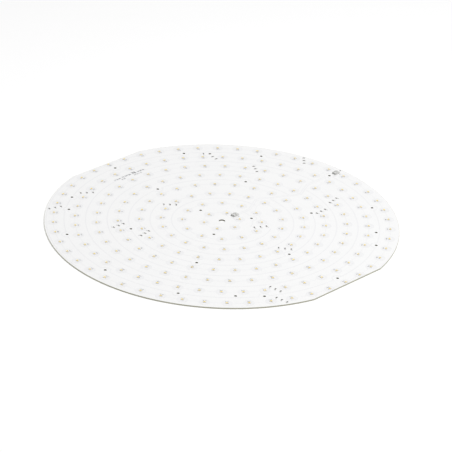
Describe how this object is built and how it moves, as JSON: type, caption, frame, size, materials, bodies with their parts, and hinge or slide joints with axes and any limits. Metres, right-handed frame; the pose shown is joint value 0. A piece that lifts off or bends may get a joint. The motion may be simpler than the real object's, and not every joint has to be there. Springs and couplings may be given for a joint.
{
  "type": "led module board",
  "caption": "Round flat LED board with two parallel flats, rings of LEDs, chip resistors, screw holes and two push-in wire terminals on its face.",
  "frame": {"origin": "centre of the board's back face, which is the centre of the bounding box's bottom", "axes": "+Z out of the LED side, +Y from the centre along the line of the two wire terminals, +X towards one of the two flats"},
  "size_m": [0.434, 0.45, 0.0044],
  "materials": {
    "board": "white solder mask on glass-fibre laminate",
    "led_housing": "moulded white reflector plastic",
    "led_phosphor": "yellow silicone with phosphor",
    "chip_resistor": "dark glazed ceramic with tinned ends",
    "terminal_housing": "moulded white nylon",
    "contact_clip": "tinned copper alloy"
  },
  "bodies": {
    "root": {"circuit_board": "board", "led_housings_string_01": "led_housing", "led_phosphors_string_01": "led_phosphor", "resistors_string_01": "chip_resistor", "led_housings_string_02": "led_housing", "led_phosphors_string_02": "led_phosphor", "resistors_string_02": "chip_resistor", "led_housings_string_03": "led_housing", "led_phosphors_string_03": "led_phosphor", "resistors_string_03": "chip_resistor", "led_housings_string_04": "led_housing", "led_phosphors_string_04": "led_phosphor", "resistors_string_04": "chip_resistor", "led_housings_string_05": "led_housing", "led_phosphors_string_05": "led_phosphor", "resistors_string_05": "chip_resistor", "led_housings_string_06": "led_housing", "led_phosphors_string_06": "led_phosphor", "resistors_string_06": "chip_resistor", "led_housings_string_07": "led_housing", "led_phosphors_string_07": "led_phosphor", "resistors_string_07": "chip_resistor", "led_housings_string_08": "led_housing", "led_phosphors_string_08": "led_phosphor", "resistors_string_08": "chip_resistor", "led_housings_string_09": "led_housing", "led_phosphors_string_09": "led_phosphor", "resistors_string_09": "chip_resistor", "led_housings_string_10": "led_housing", "led_phosphors_string_10": "led_phosphor", "resistors_string_10": "chip_resistor", "led_housings_string_11": "led_housing", "led_phosphors_string_11": "led_phosphor", "resistors_string_11": "chip_resistor", "led_housings_string_12": "led_housing", "led_phosphors_string_12": "led_phosphor", "resistors_string_12": "chip_resistor", "led_housings_string_13": "led_housing", "led_phosphors_string_13": "led_phosphor", "resistors_string_13": "chip_resistor", "led_housings_string_14": "led_housing", "led_phosphors_string_14": "led_phosphor", "resistors_string_14": "chip_resistor", "inner_terminal_housing": "terminal_housing", "inner_terminal_clip_left": "contact_clip", "inner_terminal_clip_right": "contact_clip", "outer_terminal_housing": "terminal_housing", "outer_terminal_clip_left": "contact_clip", "outer_terminal_clip_right": "contact_clip"}
  },
  "joints": []
}
